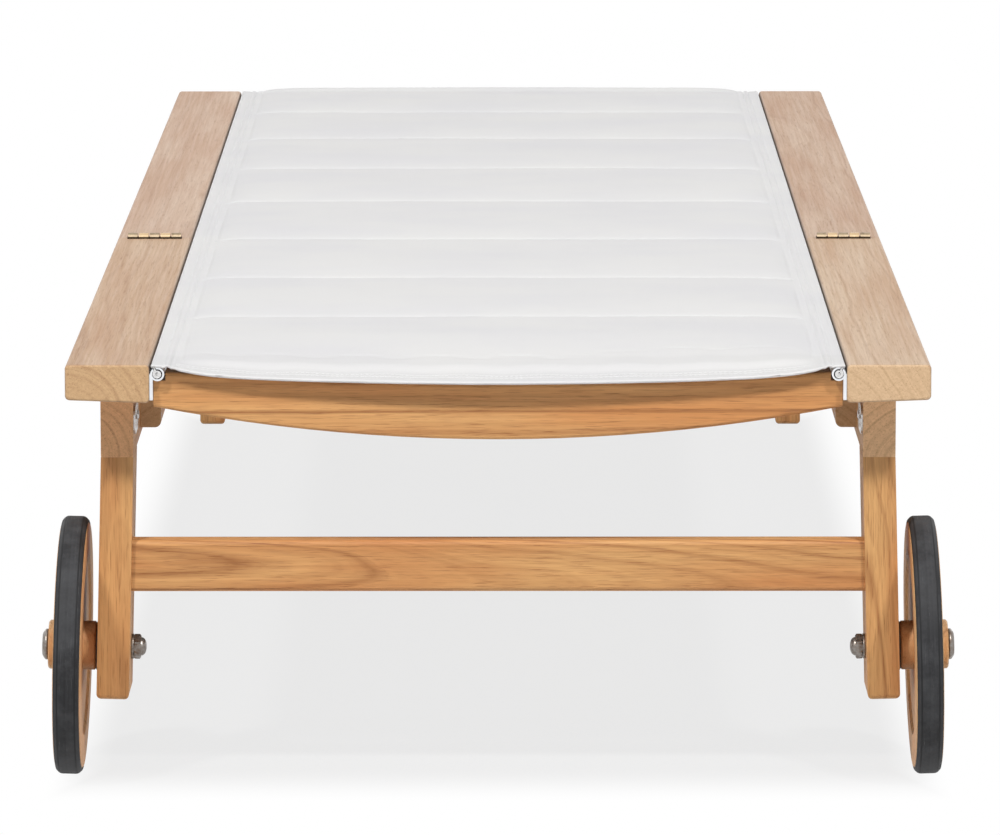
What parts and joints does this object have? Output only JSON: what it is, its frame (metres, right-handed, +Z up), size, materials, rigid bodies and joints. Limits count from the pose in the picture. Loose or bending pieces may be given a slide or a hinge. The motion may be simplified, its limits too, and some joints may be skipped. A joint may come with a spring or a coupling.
{
  "type": "wheeled chaise lounger",
  "caption": "Low wooden sun lounger with a padded fabric sling on side tracks, a hinged reclining back on a notched prop, splayed head legs with wheels and straight foot legs.",
  "frame": {"origin": "on the floor, under the middle of the lounger's box", "axes": "+X across to the right side, +Y from the wheeled head end to the foot end, +Z up"},
  "size_m": [0.707, 2.072, 0.3346],
  "materials": {
    "teak_rail": "fine sanded teak plank, pinkish tan",
    "teak_frame": "warm golden teak, sanded",
    "teak_cross": "warm golden teak, grain along the bar",
    "teak_turned": "turned teak",
    "dowel_wood": "plain hardwood dowel",
    "sling_fabric": "white padded outdoor mesh fabric",
    "track_aluminium": "satin anodised, near white",
    "stainless_steel": "polished stainless",
    "axle_steel": "stainless with light wear",
    "tyre_rubber": "dark grey rubber, scuffed",
    "nylon": "natural nylon",
    "dark_plastic": "dark brown moulded plastic"
  },
  "bodies": {
    "base_frame": {"axle_bolts": "axle_steel", "axle_cap_nuts": "axle_steel", "axle_washers": "axle_steel", "beam_plate_screws": "stainless_steel", "beam_plates": "stainless_steel", "foot_bow_rail": "teak_cross", "foot_leg_left": "teak_frame", "foot_leg_right": "teak_frame", "foot_stretcher": "teak_cross", "head_leg_left": "teak_frame", "head_leg_right": "teak_frame", "head_stretcher": "teak_cross", "hinge_pins": "stainless_steel", "hinge_seat_leaves": "stainless_steel", "hinge_seat_screws": "stainless_steel", "prop_rack_left": "teak_frame", "prop_rack_right": "teak_frame", "rack_screws": "stainless_steel", "rail_dowels": "dowel_wood", "seat_bow_dowels": "dowel_wood", "seat_hinge_bow_rail": "teak_cross", "seat_middle_bow_rail": "teak_cross", "seat_rail_left": "teak_rail", "seat_rail_right": "teak_rail", "seat_sling": "sling_fabric", "seat_sling_splines": "sling_fabric", "seat_sling_track_left": "track_aluminium", "seat_sling_track_right": "track_aluminium", "seat_track_screws": "stainless_steel", "side_beam_left": "teak_frame", "side_beam_right": "teak_frame", "wheel_spacers": "dark_plastic"},
    "backrest": {"back_bow_dowels": "dowel_wood", "back_hinge_bow_rail": "teak_cross", "back_rail_left": "teak_rail", "back_rail_right": "teak_rail", "back_sling": "sling_fabric", "back_sling_splines": "sling_fabric", "back_sling_track_left": "track_aluminium", "back_sling_track_right": "track_aluminium", "back_track_screws": "stainless_steel", "head_bow_rail": "teak_cross", "hinge_back_leaves": "stainless_steel", "hinge_back_screws": "stainless_steel", "prop_bolts": "stainless_steel", "prop_bracket_screws": "stainless_steel", "prop_brackets": "stainless_steel"},
    "prop": {"prop_arm_left": "teak_frame", "prop_arm_right": "teak_frame", "prop_bar": "stainless_steel", "prop_washers": "nylon"},
    "wheel_left": {"tyre_left": "tyre_rubber", "wheel_bush_left": "nylon", "wheel_disc_left": "teak_turned"},
    "wheel_right": {"tyre_right": "tyre_rubber", "wheel_bush_right": "nylon", "wheel_disc_right": "teak_turned"}
  },
  "joints": [
    {"name": "backrest_hinge", "type": "hinge", "parent": "base_frame", "child": "backrest", "pos_m": [0, -0.214, 0.33], "axis": [-1, 0, 0], "range_deg": [0, 60]},
    {"name": "prop_pivot", "type": "hinge", "parent": "backrest", "child": "prop", "pos_m": [0, -0.476, 0.287], "axis": [1, 0, 0], "range_deg": [0, 111]},
    {"name": "wheel_right_spin", "type": "hinge", "parent": "base_frame", "child": "wheel_right", "pos_m": [0.29699, -0.936, 0.0993], "axis": [0.9997, 0, 0.0262], "continuous": true},
    {"name": "wheel_left_spin", "type": "hinge", "parent": "base_frame", "child": "wheel_left", "pos_m": [-0.29699, -0.936, 0.0993], "axis": [0.9997, 0, -0.0262], "continuous": true}
  ],
  "couplings": [
    {"joint": "prop_pivot", "follows": "backrest_hinge", "ratio": 1.84}
  ]
}
